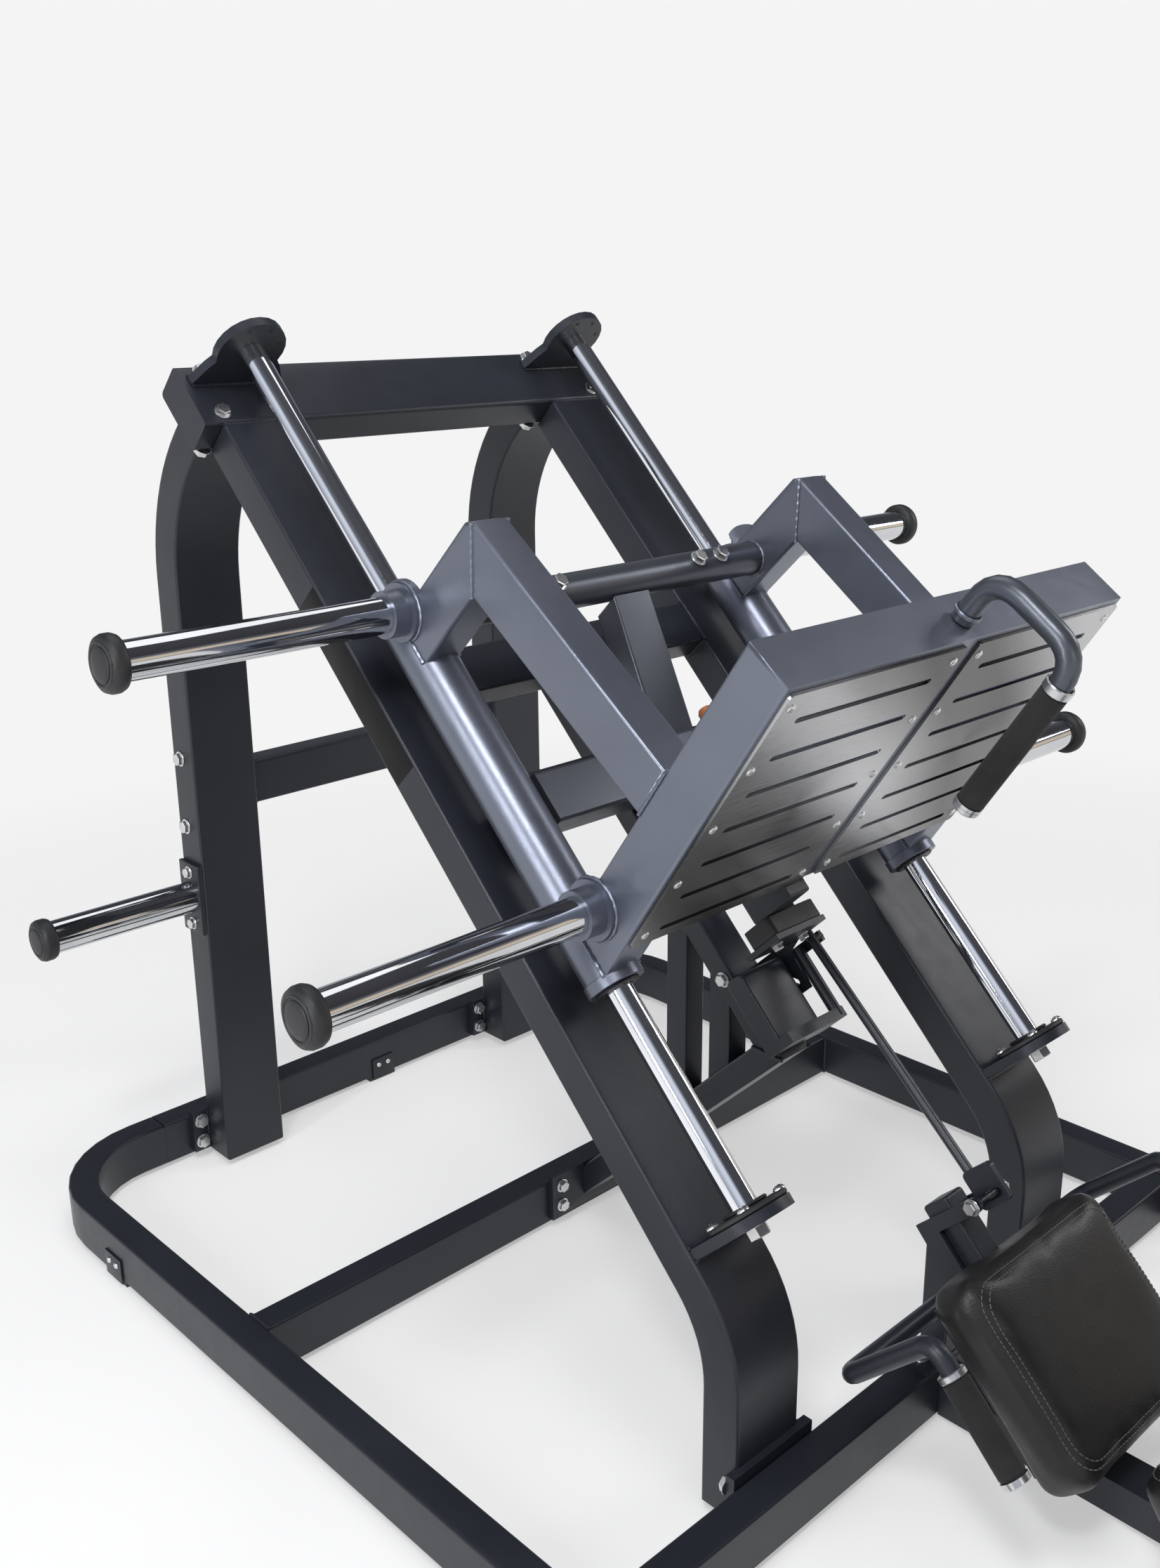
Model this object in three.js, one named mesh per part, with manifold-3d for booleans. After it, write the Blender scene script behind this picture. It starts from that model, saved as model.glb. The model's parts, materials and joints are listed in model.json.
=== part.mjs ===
// Plate-loaded 45 degree leg press machine. Millimetres, +Z up, floor at z = 0, seat end towards -Y.
import * as THREE from "three";
import { mergeVertices } from "three/addons/utils/BufferGeometryUtils.js";
import Module from "manifold-3d";

const wasm = await Module();
wasm.setup();

// Driving dimensions
const FOOT = 8;                     // rubber foot height
const GAP = 0.3;                    // clearance between parts that touch
const ANGLE = 45.5;                 // slope of the guide rods
const RAIL_Z = 1020 + FOOT;         // height of the rod axis above y = 0
const ROD_X = 323, ROD_R = 18.5;
const RAIL_IN = 266, RAIL_OUT = 382;
const BASE_OUT = 685, BASE_T = 48, BASE_H = 76, CORNER_R = 180;
const BASE_BACK = 661, BASE_FRONT = -1250;
const SLED_IN = 294, SLED_OUT = 354;
const HORN_R = 25, HORN_FROM = 388, HORN_TO = 764, CAP_END = 788, CAP_R = 36;
const SEAT_TOP = 87, SEAT_HIGH = -1055, SEAT_LOW = -1335, SEAT_HALF = 168;
const SHAFT = [-1085, -45];         // release shaft axis, along and above the rods
const CRANK = [84, 95];             // lever pin from the shaft axis, at rest
const EYE = 5;                      // lever pin radius
const TRAVEL = 37.5;                // rod pulled down and stop drawn in over the lever's full turn

const TH = THREE.MathUtils.degToRad(ANGLE);
const COS = Math.cos(TH), SIN = Math.sin(TH);
const RAIL = new THREE.Matrix4().makeRotationX(TH).setPosition(0, 0, RAIL_Z);
const toWorld = (s, n) => [s * COS - n * SIN, RAIL_Z + s * SIN + n * COS];

// Solids
const solid = (geo) => {
  const bare = geo.clone();
  bare.deleteAttribute("normal");
  bare.deleteAttribute("uv");
  const m = mergeVertices(bare, 1e-4);
  return new wasm.Manifold(new wasm.Mesh({
    numProp: 3,
    vertProperties: new Float32Array(m.attributes.position.array),
    triVerts: new Uint32Array(m.index.array),
  }));
};
const join = (...geos) => geos.map(solid).reduce((a, b) => a.add(b));
const cut = (from, ...tools) => tools.map(solid).reduce((a, b) => a.subtract(b), from);
const geometryOf = (body) => {
  const m = body.getMesh();
  const g = new THREE.BufferGeometry();
  g.setAttribute("position", new THREE.BufferAttribute(new Float32Array(m.vertProperties), 3));
  g.setIndex(new THREE.BufferAttribute(new Uint32Array(m.triVerts), 1));
  return g;
};
const mirrored = (geo) => {
  const g = geo.index ? geo.toNonIndexed() : geo.clone();
  g.scale(-1, 1, 1);
  const p = g.attributes.position;
  for (let i = 0; i < p.count; i += 3) {
    const a = [p.getX(i), p.getY(i), p.getZ(i)];
    p.setXYZ(i, p.getX(i + 1), p.getY(i + 1), p.getZ(i + 1));
    p.setXYZ(i + 1, ...a);
  }
  g.deleteAttribute("normal");
  if (g.attributes.uv) g.deleteAttribute("uv");
  return g;
};
const onRail = (geo) => geo.applyMatrix4(RAIL);

// Outline drawn in a plane and given a thickness along the remaining axis, edges rounded by `bevel`.
const AXES = {
  x: new THREE.Matrix4().makeBasis(
    new THREE.Vector3(0, 1, 0), new THREE.Vector3(0, 0, 1), new THREE.Vector3(1, 0, 0)),
  y: new THREE.Matrix4().makeBasis(
    new THREE.Vector3(0, 0, 1), new THREE.Vector3(1, 0, 0), new THREE.Vector3(0, 1, 0)),
  z: new THREE.Matrix4(),
};
const extrude = (axis, outline, from, to, bevel = 0, holes = []) => {
  const shape = new THREE.Shape(outline.map(([u, v]) => new THREE.Vector2(u, v)));
  for (const h of holes) shape.holes.push(new THREE.Path(h.map(([u, v]) => new THREE.Vector2(u, v))));
  const g = new THREE.ExtrudeGeometry(shape, {
    depth: to - from - 2 * bevel, steps: 1, curveSegments: 6, bevelEnabled: bevel > 0,
    bevelThickness: bevel, bevelSize: bevel, bevelOffset: -bevel, bevelSegments: 2,
  });
  return g.translate(0, 0, from + bevel).applyMatrix4(AXES[axis]);
};
const arc = (u, v, r, from, to, count = 8) => Array.from({ length: count + 1 }, (_, i) => {
  const a = THREE.MathUtils.degToRad(from + (to - from) * i / count);
  return [u + r * Math.cos(a), v + r * Math.sin(a)];
});
const rounded = (u0, u1, v0, v1, r, count = 3) => [
  ...arc(u1 - r, v0 + r, r, -90, 0, count), ...arc(u1 - r, v1 - r, r, 0, 90, count),
  ...arc(u0 + r, v1 - r, r, 90, 180, count), ...arc(u0 + r, v0 + r, r, 180, 270, count)];
const box = (x0, x1, y0, y1, z0, z1) =>
  new THREE.BoxGeometry(x1 - x0, y1 - y0, z1 - z0).translate((x0 + x1) / 2, (y0 + y1) / 2, (z0 + z1) / 2);
// Rectangular tube along x; its section is given in the (y, z) plane.
const barX = (x0, x1, y0, y1, z0, z1, r = 5) => extrude("x", rounded(y0, y1, z0, z1, r), x0, x1);
// Round bar between two points along one axis.
const round = (axis, u, v, r, from, to, sides = 32) =>
  extrude(axis, arc(u, v, r, 0, 360, sides).slice(0, -1), from, to);
const ring = (axis, u, v, r, bore, from, to, sides = 40) =>
  extrude(axis, arc(u, v, r, 0, 360, sides).slice(0, -1), from, to, 0,
    [arc(u, v, bore, 0, 360, sides).slice(0, -1)]);
// Bent round tube through points [x, y, z], bends rounded with radius `bend`.
const pipe = (points, r, bend, steps = 5, sides = 14) => {
  const pts = points.map((p) => new THREE.Vector3(...p));
  const path = new THREE.CurvePath();
  let last = pts[0];
  for (let i = 1; i < pts.length - 1; i++) {
    const inDir = pts[i].clone().sub(pts[i - 1]).normalize();
    const outDir = pts[i + 1].clone().sub(pts[i]).normalize();
    const start = pts[i].clone().addScaledVector(inDir, -bend);
    const end = pts[i].clone().addScaledVector(outDir, bend);
    path.add(new THREE.LineCurve3(last, start));
    path.add(new THREE.QuadraticBezierCurve3(start, pts[i].clone(), end));
    last = end;
  }
  path.add(new THREE.LineCurve3(last, pts[pts.length - 1]));
  const samples = [pts[0]];
  for (const c of path.curves) samples.push(...c.getPoints(c.isLineCurve3 ? 1 : steps).slice(1));
  return sweep(samples, r, sides);
};
// Circle carried along sampled points without twist, closed at both ends.
function sweep(samples, r, sides) {
  const pos = [], idx = [];
  const dirs = samples.map((p, i) => {
    const a = samples[Math.max(i - 1, 0)], b = samples[Math.min(i + 1, samples.length - 1)];
    return b.clone().sub(a).normalize();
  });
  let side = new THREE.Vector3(1, 0, 0);
  if (Math.abs(dirs[0].x) > 0.8) side.set(0, 0, 1);
  samples.forEach((p, i) => {
    side = side.clone().addScaledVector(dirs[i], -side.dot(dirs[i])).normalize();
    const up = dirs[i].clone().cross(side);
    for (let k = 0; k < sides; k++) {
      const a = 2 * Math.PI * k / sides;
      const q = p.clone().addScaledVector(side, r * Math.cos(a)).addScaledVector(up, r * Math.sin(a));
      pos.push(q.x, q.y, q.z);
    }
  });
  for (let i = 0; i < samples.length - 1; i++) for (let k = 0; k < sides; k++) {
    const a = i * sides + k, b = i * sides + (k + 1) % sides;
    idx.push(a, b, b + sides, a, b + sides, a + sides);
  }
  const end = (samples.length - 1) * sides;
  for (let k = 1; k < sides - 1; k++) {
    idx.push(0, k + 1, k);
    idx.push(end, end + k, end + k + 1);
  }
  const g = new THREE.BufferGeometry();
  g.setAttribute("position", new THREE.Float32BufferAttribute(pos, 3));
  g.setIndex(idx);
  return g;
}

// Materials
const paint = { color: 0x0b0c11, roughness: 0.5, metalness: 0.2 };
const LOOK = {
  frame_paint: paint,
  sled_paint: { color: 0x3b3e48, roughness: 0.4, metalness: 0.6 },
  chrome: { color: 0xd6d8dc, roughness: 0.12, metalness: 1 },
  tread: { color: 0xa9acb0, roughness: 0.4, metalness: 1 },
  rubber: { color: 0x0a0a0b, roughness: 0.8 },
  foam: { color: 0x0c0c0d, roughness: 0.95 },
  vinyl: { color: 0x0b0b0c, roughness: 0.45 },
  board: { color: 0x151516, roughness: 0.6 },
};
const root = new THREE.Group();
const add = (name, geo, look) => {
  const material = new THREE.MeshStandardMaterial(LOOK[look]);
  material.name = look;
  const g = geo.isBufferGeometry ? geo : geometryOf(geo);
  const mesh = new THREE.Mesh(g, material);
  mesh.name = name;
  root.add(mesh);
  return g;
};
const pair = (name, geo, look) => {
  const left = add(`${name}_left`, geo, look);
  add(`${name}_right`, mirrored(left), look);
};

// Base
const FLOOR = FOOT + GAP, BASE_TOP = FOOT + BASE_H;
const cornerX = -BASE_OUT + CORNER_R, inR = CORNER_R - BASE_T;
const backY = BASE_BACK - CORNER_R, frontY = BASE_FRONT + CORNER_R;
pair("base_rail", extrude("z", [
  [-460, BASE_BACK], ...arc(cornerX, backY, CORNER_R, 90, 180), ...arc(cornerX, frontY, CORNER_R, 180, 270),
  [-460, BASE_FRONT], [-460, BASE_FRONT + BASE_T], ...arc(cornerX, frontY, inR, 270, 180),
  ...arc(cornerX, backY, inR, 180, 90), [-460, BASE_BACK - BASE_T]], FLOOR, BASE_TOP, 4), "frame_paint");
const endX = 460 - GAP, innerX = BASE_OUT - BASE_T - GAP;
add("rear_base_bar", barX(-endX, endX, BASE_BACK - BASE_T, BASE_BACK, FLOOR, BASE_TOP, 4), "frame_paint");
add("front_base_bar", barX(-endX, endX, BASE_FRONT, BASE_FRONT + BASE_T, FLOOR, BASE_TOP, 4), "frame_paint");
add("mid_base_crossbar", barX(-innerX, innerX, 2, 50, FLOOR, BASE_TOP, 4), "frame_paint");
add("front_base_crossbar", barX(-innerX, innerX, -706, -658, FLOOR, BASE_TOP, 4), "frame_paint");
const beamTop = 58, HINGE = [-1090, 97.6];
const lug = (x0, x1) => extrude("x", [[-1108, 50], [-1072, 50], ...arc(...HINGE, 18, 0, 180, 8)], x0, x1);
add("centre_base_beam", cut(join(
  box(-30, 30, BASE_FRONT + BASE_T + GAP, -706 - GAP, FLOOR, beamTop),
  extrude("x", [[-1201, 50], [-1170, 50], [-1170, 128.5], [-1201, 150]], -25, 25),
  box(-43, 43, -1112, -1068, 46, 56), lug(-43, -33), lug(33, 43)),
round("x", -1090, 70, 6.5, 20, 50, 20)), "frame_paint");
const foot = (x, y) => box(x - 22, x + 22, y - 30, y + 30, 0, FOOT);
for (const [name, y] of [["foot_rear", 375], ["foot_front", -1000]]) pair(name, foot(-661, y), "rubber");
add("foot_back_centre", box(-17, 43, 615, 659, 0, FOOT), "rubber");

// Uprights, tie bar and storage pegs
const bendZ = 1041 + FOOT;
pair("upright", join(
  extrude("x", [[539, FLOOR + 4], [603, FLOOR + 4], ...arc(271, bendZ, 332, 0, ANGLE, 10),
    ...[537, 473].map((s) => toWorld(s, -125 - GAP)), ...arc(271, bendZ, 268, ANGLE, 0, 10)],
  -RAIL_OUT, -RAIL_IN, 4),
  box(-412, -236, 599, 613 - GAP, 16, 92)), "frame_paint");
add("upright_tie_bar", barX(-RAIL_IN + GAP, RAIL_IN - GAP, 546, 596, 654, 729, 6), "frame_paint");
const pegZ = 503 + FOOT, pegY = 571;
pair("storage_peg", join(
  box(-390, -RAIL_OUT - GAP, 541, 601, 447, 571),
  round("x", pegY, pegZ, 27, -638, -385)), "chrome");
pair("storage_cap", extrude("x", arc(pegY, pegZ, 34, 0, 360, 36).slice(0, -1), -663, -638 - GAP, 7), "rubber");

// Rails with front legs, crossmembers, crossbar, rods and lower rod brackets
const RAIL_TOP = -65, RAIL_LOW = -125, BEND_S = -900, BEND_R = 222;
const [bendY, legZ] = toWorld(BEND_S, RAIL_TOP - BEND_R);
const phi = 90 + ANGLE;
pair("rail", join(
  extrude("x", [toWorld(449 - GAP, RAIL_TOP), ...arc(bendY, legZ, BEND_R, phi, 180, 8),
    [bendY - BEND_R, FLOOR + 4], [bendY - BEND_R + 60, FLOOR + 4],
    ...arc(bendY, legZ, BEND_R - 60, 180, phi, 8), toWorld(449 - GAP, RAIL_LOW)],
  -RAIL_OUT, -RAIL_IN, 4),
  box(-400, -248, -658 + GAP, -644, 16, 98)), "frame_paint");
for (const [name, s] of [["upper", -63], ["lower", -280]])
  add(`rail_crossmember_${name}`,
    onRail(barX(-RAIL_IN + GAP, RAIL_IN - GAP, s, s + 76, -113, -65, 5)), "frame_paint");
const ear = (x) => extrude("y", [
  [RAIL_TOP - 8, x - 76], [RAIL_TOP + 4, x - 76], [-30, x - 60], ...arc(0, x, 55, 250, 470, 14),
  [-30, x + 60], [RAIL_TOP + 4, x + 76], [RAIL_TOP - 8, x + 76]], 521.5, 536);
add("top_crossbar", geometryOf(join(
  barX(-410, 410, 449, 560, RAIL_LOW, RAIL_TOP, 7), ear(-ROD_X), ear(ROD_X))).applyMatrix4(RAIL),
"frame_paint");
pair("guide_rod", onRail(round("y", 0, -ROD_X, ROD_R, -866 + GAP, 521.5 - GAP)), "chrome");
pair("rod_bracket", onRail(extrude("y", [
  [RAIL_TOP + GAP, -ROD_X - 56], ...arc(0, -ROD_X, 56, 270, 450, 14),
  [RAIL_TOP + GAP, -ROD_X + 56]], -880, -866)), "frame_paint");

// Stop beam, strut and posts in the centre
const postLine = (y, n) => [y, RAIL_Z + (y + n * SIN) / COS * SIN + n * COS];
const strutLine = (y, s) => [y, RAIL_Z + s * SIN + (s * COS - y) / SIN * COS];
const post = (y0, y1) => extrude("x", [strutLine(y0, -690), strutLine(y1, -690), postLine(y1, -138),
  postLine(y0, -138)], -20, 20, 3);
add("stop_frame", join(
  extrude("x", [toWorld(-40, -113 - GAP), toWorld(-714, -113 - GAP), strutLine(-4, -714),
    strutLine(-4, -674), toWorld(-674, -152), toWorld(-40, -152)], -30, 30, 4),
  post(-225, -185), post(-311, -271), box(-100, 100, -8, 2 - GAP, 16, 96)), "frame_paint");
add("stop_housing", geometryOf(join(
  extrude("x", rounded(-693, -583, -113, -75, 8), -52, 38, 3),
  box(-52, 70, -704, -688, -113, -54), round("y", -62, 62, 9, -700, -585, 24))).applyMatrix4(RAIL),
"frame_paint");

// Seat
const [shaftS, shaftN] = SHAFT;
add("seat_frame", cut(join(
  ...[extrude("x", rounded(-1312, -975, -40, 5, 5), -20, 20, 3), box(-140, 140, -1300, -1080, 0, 10 - GAP),
    box(-20, -12, shaftS - 22, shaftS + 22, -68, -35),
    box(12, 20, shaftS - 22, shaftS + 22, -68, -35)].map(onRail),
  extrude("x", rounded(-704, -664, BASE_TOP + GAP, 290, 6), -20, 20, 3),
  box(-60, 60, -705, -659, BASE_TOP + GAP, 92)),
onRail(round("x", shaftS, shaftN, 12.5 + GAP, -40, 40, 40))), "frame_paint");
add("seat_pad", onRail(extrude("z", rounded(-SEAT_HALF, SEAT_HALF, SEAT_LOW, SEAT_HIGH, 34, 6), 10, SEAT_TOP, 9)),
  "vinyl");

// Backrest, hinged above the centre beam and resting on its post
const BACK = THREE.MathUtils.degToRad(35);
const BACK_AT = [-1020, 165], BACK_LEN = 760, BACK_T = 75, BACK_HALF = 150;
const backM = new THREE.Matrix4().makeBasis(new THREE.Vector3(-1, 0, 0),
  new THREE.Vector3(0, -Math.cos(BACK), Math.sin(BACK)), new THREE.Vector3(0, Math.sin(BACK), Math.cos(BACK)));
backM.setPosition(0, ...BACK_AT);
const onBack = (geo) => geo.applyMatrix4(backM);
const spineTop = -BACK_T - GAP;
add("back_frame", join(...[extrude("x", rounded(-8, 700, spineTop - 40, spineTop, 5), -30, 30),
  ...[110, 590].map((v) => barX(-120, 120, v, v + 40, spineTop - 24, spineTop, 4))].map(onBack)), "frame_paint");
add("back_pad", onBack(extrude("z", rounded(-BACK_HALF, BACK_HALF, 0, BACK_LEN, 40, 6), -BACK_T, 0, 9)), "vinyl");
add("pop_pin", join(round("x", -1090, 70, 6, 31, 66, 20), round("x", -1090, 70, 14, 60, 86, 24)), "chrome");

// Release shaft with its forked lever and handles; rod; sliding stop
const [pinS, pinN] = [shaftS + CRANK[0], shaftN + CRANK[1]];
const handles = [[-280, -1245, 117], [-280, shaftS, 117], [-280, shaftS, shaftN], [280, shaftS, shaftN],
  [280, shaftS, 117], [280, -1245, 117]];
const lever = [...arc(shaftS, shaftN, 17, 90, 270, 6), [pinS + 10, shaftN - 14],
  ...arc(pinS, pinN, 10, 0, 180, 6), [pinS - 10, shaftN + 17]];
add("release_shaft", geometryOf(join(pipe(handles, 12.5, 24),
  extrude("x", lever, -29, -23), extrude("x", lever, 23, 29),
  round("x", pinS, pinN, EYE, -34, 34, 16))).applyMatrix4(RAIL), "frame_paint");
const slot = (from, to, r, turn) => [...arc(...from, r, turn - 90, turn + 90, 6),
  ...arc(...to, r, turn + 90, turn + 270, 6)];
const rodAt = (s) => [(s + 1000) * 66 / 460, s, 50 - (s + 1000) * 84 / 460];
const CAM = [-590, -120];
add("release_rod", geometryOf(join(
  pipe([rodAt(pinS + 20), rodAt(-380)], 7, 0),
  extrude("x", rounded(pinS - 15, pinS + 40, pinN - 14, pinN + 38, 8), -4, 4, 0,
    [slot([pinS, pinN + 25], [pinS, pinN - 1], EYE + 1.8, 90)]),
  round("x", CAM[0], -25, 6, 56, 78, 20), box(72, 78, CAM[0] - 8, CAM[0] + 8, CAM[1] - 8, -20),
  round("x", ...CAM, 4, 44, 74, 20))).applyMatrix4(RAIL), "frame_paint");
add("stop_arm", geometryOf(join(
  box(-52, 52, -579, -571, -48, 25),
  extrude("x", [[-571, -30], [-571, -134], [-600, -134], [-645, -92], [-645, -66], [-585, -60], [-579, -40]],
    46, 52, 0, [slot([CAM[0] + 0.5, CAM[1] - 0.5], [CAM[0] - TRAVEL - 0.5, CAM[1] + TRAVEL + 0.5], 4.6, -45)])))
  .applyMatrix4(RAIL), "frame_paint");
add("stop_pad", onRail(extrude("y", rounded(-32, 25, -52, 52, 8), -571 + GAP, -543, 2)), "rubber");

// Sled
const SLEEVE_R = 38;
const sleeveCut = [-ROD_X, ROD_X].map((x) => round("y", 0, x, SLEEVE_R + GAP, -700, 200));
pair("sleeve", onRail(ring("y", 0, -ROD_X, SLEEVE_R, ROD_R + 0.5, -546, 44)), "sled_paint");
const LOWER_HORN = [-460, 72], UPPER_HORN = [24, 39];
// Collar plate and socket that hold a horn, on the side given by its sign.
const socket = (at, sign) => [[40, 362], [32, HORN_FROM]].map(([r, to]) => round("x", ...at, r,
  Math.min(sign * to, sign * (SLED_OUT - 6)), Math.max(sign * to, sign * (SLED_OUT - 6)), 36));
pair("sled_side", geometryOf(cut(join(
  extrude("x", [[24, 5], [24, 226], [14, 238.5], [-398.3, 298], [-412.6, 223], [-52, 169], [-52, 5]],
    -SLED_OUT, -SLED_IN, 5),
  round("x", ...UPPER_HORN, 44, -SLED_OUT, -SLED_OUT + 8), ...socket(UPPER_HORN, -1)), ...sleeveCut))
  .applyMatrix4(RAIL), "sled_paint");
const FACE_TOP = [-430, 511];
const front = (n) => -523 + (n - 79) * 93 / 432, back = (n) => -433 + (n - 118) * 73 / 382;
const side = (x0, x1) => extrude("x",
  [[...FACE_TOP], [front(5), 5], [back(5), 5], [back(500), 500]], x0, x1, 5);
add("foot_plate_frame", geometryOf(cut(join(
  side(-SLED_OUT, -SLED_IN), side(SLED_IN, SLED_OUT), ...socket(LOWER_HORN, -1), ...socket(LOWER_HORN, 1),
  ...[[79, 139], [262, 312]].map(([a, b]) => extrude("x",
    [[front(a), a], [back(a), a], [back(b), b], [front(b), b]], -SLED_IN - 8, SLED_IN + 8, 4)),
  extrude("x", [FACE_TOP, [front(451), 451], [back(440), 440], [back(500), 500]], -SLED_IN - 8, SLED_IN + 8, 4),
  extrude("x", [[front(90), 90], [front(90) + 30, 90], [front(490) + 30, 490], [front(490), 490]], -28, 28)),
...sleeveCut)).applyMatrix4(RAIL), "sled_paint");
const faceDir = new THREE.Vector3(0, -93, -432).normalize();
const faceUp = faceDir.clone().negate(), faceX = new THREE.Vector3(1, 0, 0);
const faceM = new THREE.Matrix4().makeBasis(faceX, faceUp, faceX.clone().cross(faceUp)).setPosition(0, ...FACE_TOP);
const slots = Array.from({ length: 7 }, (_, i) => rounded(52, 307, -59.5 - 60 * i, -50.5 - 60 * i, 4.5, 3));
const tread = extrude("z", rounded(12, 347, -439, -9, 6, 2), GAP, GAP + 4, 0, slots);
pair("tread_plate", onRail(tread.applyMatrix4(faceM)), "tread");
add("sled_cross_tube", onRail(round("x", -14, 80, 26, -SLED_IN + GAP, SLED_IN - GAP)), "sled_paint");
add("sled_centre_strut", onRail(extrude("x", [[-40.5, 40], [-40.5, 88], [-244 + GAP, 17], [-244 + GAP, -31]],
  -38, 38, 4)), "sled_paint");
const barEnd = ROD_X - SLEEVE_R - GAP;
add("sled_rear_crossbar", onRail(barX(-barEnd, barEnd, -320, -244, -25, 25, 5)), "sled_paint");
add("sled_stop_bar", onRail(extrude("x", rounded(-542.5, -500, -7, 79 - GAP, 4), -44, -4)), "frame_paint");
for (const [name, at] of [["lower", LOWER_HORN], ["upper", UPPER_HORN]]) {
  pair(`horn_${name}`, onRail(round("x", ...at, HORN_R, -HORN_TO, -HORN_FROM - GAP, 40)), "chrome");
  pair(`horn_cap_${name}`, onRail(extrude("x", arc(...at, CAP_R, 0, 360, 40).slice(0, -1),
    -CAP_END, -HORN_TO - GAP, 8)), "rubber");
}
const bent = [[0, -401.5, 509.2], [0, -388, 581], [0, -528, 605], [0, -582, 363]];
add("foot_handle", onRail(pipe(bent, 15, 46, 6, 18)), "sled_paint");
const onHandle = (t) => [0, -528 - 54 * t, 605 - 242 * t];
add("foot_handle_grip", geometryOf(cut(solid(pipe([onHandle(0.215), onHandle(0.955)], 18, 0, 1, 24)),
  pipe([onHandle(0.1), onHandle(1.1)], 15.4, 0, 1, 24))).applyMatrix4(RAIL), "foam");

// Origin at the middle of the footprint
const extent = new THREE.Box3().setFromObject(root);
const centre = extent.getCenter(new THREE.Vector3());
root.children.forEach((mesh) => mesh.geometry.translate(-centre.x, -centre.y, 0));
export default root;
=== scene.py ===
import json
import math
import bmesh
import bpy
from mathutils import Matrix, Vector, noise

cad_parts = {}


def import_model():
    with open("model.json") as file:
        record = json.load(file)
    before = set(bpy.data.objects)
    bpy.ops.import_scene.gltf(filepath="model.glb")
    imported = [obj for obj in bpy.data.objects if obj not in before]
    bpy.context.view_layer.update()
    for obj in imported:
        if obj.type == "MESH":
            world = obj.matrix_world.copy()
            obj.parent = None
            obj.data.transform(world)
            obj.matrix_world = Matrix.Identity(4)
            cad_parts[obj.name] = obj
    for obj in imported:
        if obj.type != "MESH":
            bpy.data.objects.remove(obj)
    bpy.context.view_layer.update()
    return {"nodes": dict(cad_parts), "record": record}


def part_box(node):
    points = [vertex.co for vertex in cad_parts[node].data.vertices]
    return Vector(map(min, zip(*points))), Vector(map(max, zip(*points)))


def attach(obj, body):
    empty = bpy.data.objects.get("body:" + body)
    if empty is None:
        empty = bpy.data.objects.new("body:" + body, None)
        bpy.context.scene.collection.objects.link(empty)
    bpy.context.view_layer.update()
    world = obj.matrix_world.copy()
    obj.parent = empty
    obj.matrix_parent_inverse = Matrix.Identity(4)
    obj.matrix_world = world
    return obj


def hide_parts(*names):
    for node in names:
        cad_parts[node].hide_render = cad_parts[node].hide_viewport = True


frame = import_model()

# The CAD is centred on its box, so y is shifted back by where the rear base bar's back face (y 661 mm) now is.
REAR_BAR_Y = 661
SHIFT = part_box("rear_base_bar")[1].y * 1000 - REAR_BAR_Y
# Rail frame: s runs up along the guide rods, n stands square to them, in millimetres as in the CAD.
ANGLE = math.radians(45.5)
RAIL_ORIGIN_Z = 1.028
RAIL = Matrix.Translation((0, SHIFT / 1000, RAIL_ORIGIN_Z)) @ Matrix.Rotation(ANGLE, 4, "X")
RAIL_TURN = RAIL.to_3x3()
RAIL_S = (RAIL_TURN @ Vector((0, 1, 0))).normalized()
RAIL_N = (RAIL_TURN @ Vector((0, 0, 1))).normalized()
X, Y, Z = Vector((1, 0, 0)), Vector((0, 1, 0)), Vector((0, 0, 1))
SIDES = ((-1, "left"), (1, "right"))

# Places in millimetres that several groups share
ROD_X = 323
RAIL_OUTER, RAIL_INNER = 382, 266
EAR_LOW, EAR_HIGH = 520, 537
BRACKET_LOW, BRACKET_HIGH = -881, -865
HORNS = ((-460, 72), (24, 39))
PEG_Y = 571
GRIP_X, GRIP_N = 280, 117
FEET = ((-661, 375), (661, 375), (-661, -1000), (661, -1000))

# Hexagon bolts: width across flats and head height, in metres
PLATE_BOLT = (0.019, 0.008)
LOW_BOLT = (0.017, 0.007)
PEG_BOLT = (0.016, 0.007)
ROD_END_NUT, ROD_END_BOLT = (0.026, 0.014), (0.026, 0.011)
BEAM_BOLT = (0.019, 0.011)
HINGE_BOLT = (0.019, 0.009)
SEAT_BOLT = (0.015, 0.006)
TUBE_BOLT = (0.019, 0.010)
STOP_BOLT = (0.014, 0.007)
# Radius of the hole in the rings that sit round a guide rod, and round the handles' bars
ROD_HOLE, FOOT_BAR_HOLE, GRIP_BAR_HOLE = 0.0190, 0.0152, 0.0126


def rail(x, s, n):
    return RAIL @ Vector((x / 1000, s / 1000, n / 1000))


def world(x, y, z):
    return Vector((x / 1000, (y + SHIFT) / 1000, z / 1000))


# ---------------------------------------------------------------- materials
def new_material(name, color, metallic=0.0, rough=0.5, **sockets):
    m = bpy.data.materials.new(name)
    m.use_nodes = True
    nt = m.node_tree
    b = nt.nodes["Principled BSDF"]
    b.inputs["Base Color"].default_value = (*color, 1)
    b.inputs["Metallic"].default_value = metallic
    b.inputs["Roughness"].default_value = rough
    for k, v in sockets.items():
        b.inputs[k.replace("_", " ")].default_value = v
    return m, nt, b


def link(nt, a, b):
    nt.links.new(a, b)


def mapped(nt, stretch):
    """Object coordinates, stretched."""
    coord = nt.nodes.new("ShaderNodeTexCoord")
    mapping = nt.nodes.new("ShaderNodeMapping")
    mapping.inputs["Scale"].default_value = stretch
    link(nt, coord.outputs["Object"], mapping.inputs["Vector"])
    return mapping.outputs["Vector"]


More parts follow.
